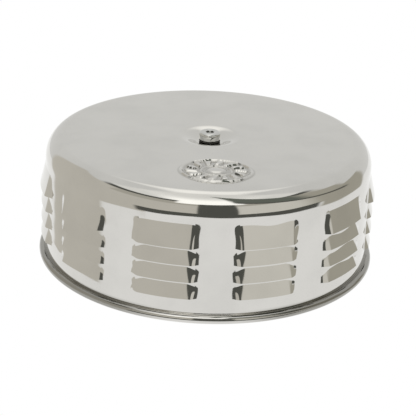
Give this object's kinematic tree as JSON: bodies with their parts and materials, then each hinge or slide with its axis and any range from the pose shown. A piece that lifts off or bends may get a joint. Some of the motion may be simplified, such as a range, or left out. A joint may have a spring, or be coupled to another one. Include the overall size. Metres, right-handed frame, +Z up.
{
  "type": "motorcycle air filter",
  "caption": "Round pancake air filter: polished louvred steel cover with a rolled rim, held by a central screw over a pleated element on a flanged base plate.",
  "frame": {"origin": "centre of the plane that the cover's rolled rim rests on, on the axis of the round cover", "axes": "+Z up along the cover's axis and the central screw, towards the lid; +X to the right and -Y towards the viewer"},
  "size_m": [0.1335, 0.1334, 0.0496],
  "materials": {
    "polished_cover_steel": "polished stainless sheet, mirror-like with faint rubbing marks",
    "screw_steel": "bright plated, slightly dulled in the socket",
    "zinc_plated_steel": "zinc plated, satin",
    "cap_steel": "tinned sheet, satin",
    "liner_steel": "perforated galvanised sheet",
    "gauze_wire": "woven steel wire",
    "spun_aluminium": "spun, with fine circular lines",
    "seal_rubber": "matt black",
    "washer_fibre": "matt black",
    "gasket_fibre": "compressed fibre sheet",
    "filter_paper": "resin-treated pleated paper"
  },
  "bodies": {
    "base": {"upper_seal": "seal_rubber", "element_upper_cap": "cap_steel", "outer_gauze": "gauze_wire", "pleated_paper": "filter_paper", "inner_tube": "liner_steel", "element_lower_cap": "cap_steel", "lower_seal": "seal_rubber", "base_plate": "zinc_plated_steel", "inlet_trumpet": "spun_aluminium", "flange_gasket": "gasket_fibre", "flange_bolt_front": "zinc_plated_steel", "flange_bolt_rear": "zinc_plated_steel", "flange_spring_washer_front": "zinc_plated_steel", "flange_spring_washer_rear": "zinc_plated_steel", "flange_washer_front": "zinc_plated_steel", "flange_washer_rear": "zinc_plated_steel", "cover_bracket": "zinc_plated_steel", "bracket_nut": "zinc_plated_steel", "bracket_rivet_1": "zinc_plated_steel", "bracket_rivet_2": "zinc_plated_steel", "bracket_rivet_3": "zinc_plated_steel", "bracket_rivet_4": "zinc_plated_steel"},
    "cover": {"louvred_cover": "polished_cover_steel"},
    "screw_seal": {"sealing_washer": "washer_fibre"},
    "screw": {"cover_screw": "screw_steel"}
  },
  "joints": [
    {"name": "cover_lift", "type": "slide", "parent": "base", "child": "cover", "axis": [0, 0, 1], "range_m": [0, 0.06]},
    {"name": "screw_rise", "type": "slide", "parent": "cover", "child": "screw_seal", "axis": [0, 0, 1], "range_m": [0, 0.008]},
    {"name": "screw_turn", "type": "hinge", "parent": "screw_seal", "child": "screw", "pos_m": [0, 0, 0.0496], "axis": [0, 0, 1], "range_deg": [0, 3600]}
  ],
  "couplings": [
    {"joint": "screw_turn", "follows": "screw_rise", "rad_per_m": 7854}
  ]
}
